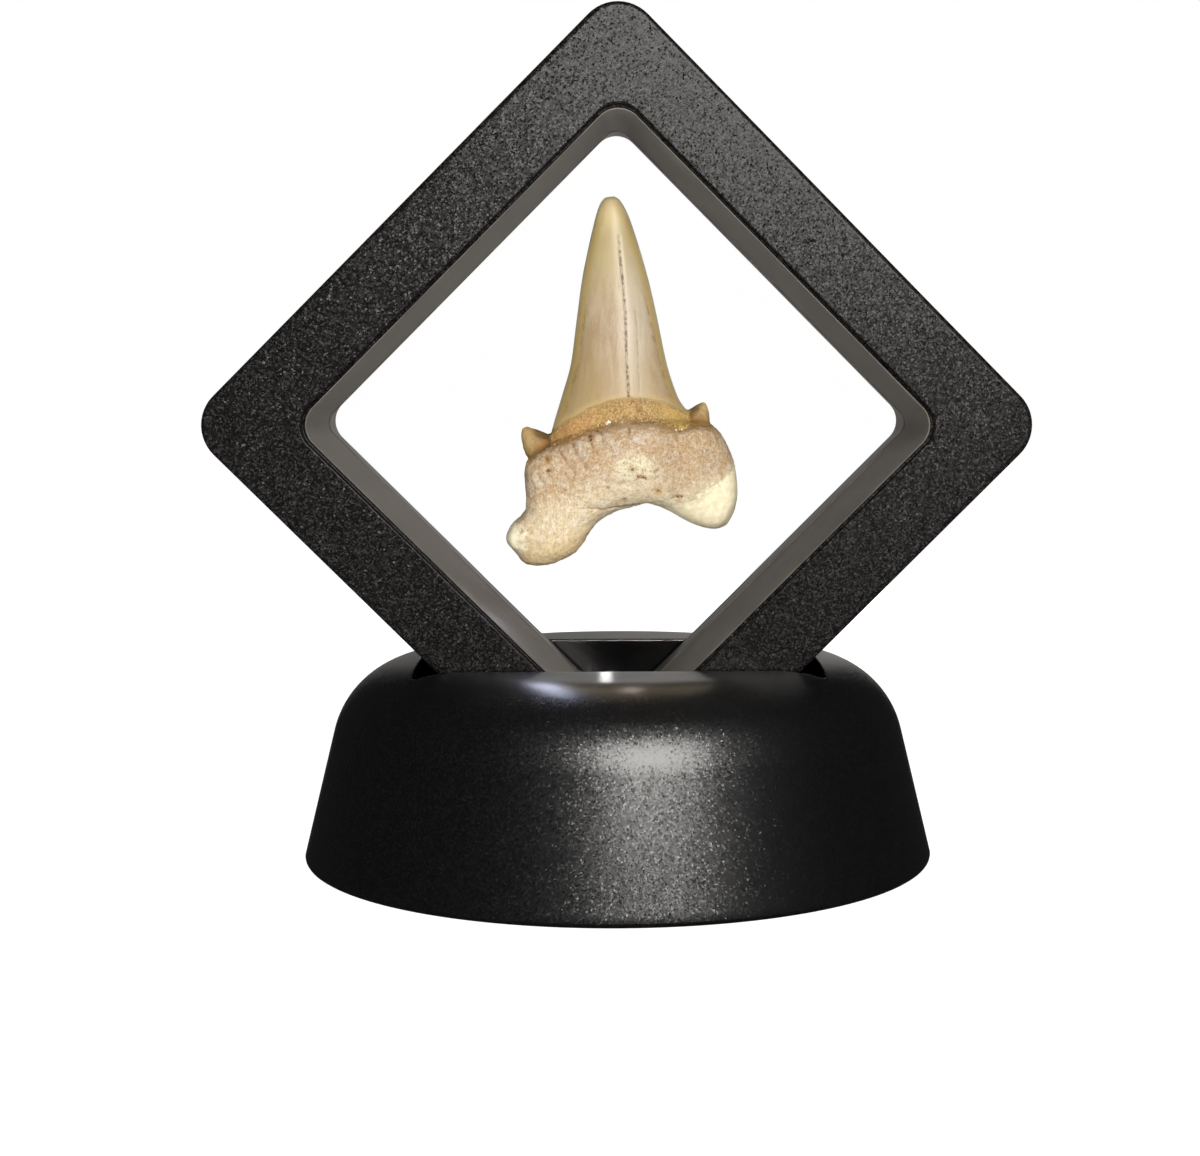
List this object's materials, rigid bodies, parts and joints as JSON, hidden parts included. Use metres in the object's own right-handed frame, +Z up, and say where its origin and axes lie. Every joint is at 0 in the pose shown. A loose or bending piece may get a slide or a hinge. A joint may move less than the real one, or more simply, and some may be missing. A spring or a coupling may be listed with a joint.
{
  "type": "fossil shark tooth in a display frame",
  "caption": "Fossil shark tooth with side cusplets, held between clear films in a square display frame that stands on one corner in a round slotted stand.",
  "frame": {"origin": "on the floor, under the middle of the stand, which is the middle of the whole object's box", "axes": "+Z up, +X to the right seen from the front, -Y towards the front, the side that the tooth's bulging face looks to"},
  "size_m": [0.0678, 0.0544, 0.0713],
  "materials": {
    "stand_plastic": "satin black, finely pebbled",
    "frame_plastic": "spark-textured charcoal faces, smooth satin inner walls",
    "clear_film": "clear elastic film",
    "fossil": "glossy enamel crown, dull porous root"
  },
  "bodies": {
    "root": {"stand": "stand_plastic", "frame_front_half": "frame_plastic", "frame_back_half": "frame_plastic", "front_film": "clear_film", "back_film": "clear_film", "tooth": "fossil"}
  },
  "joints": []
}
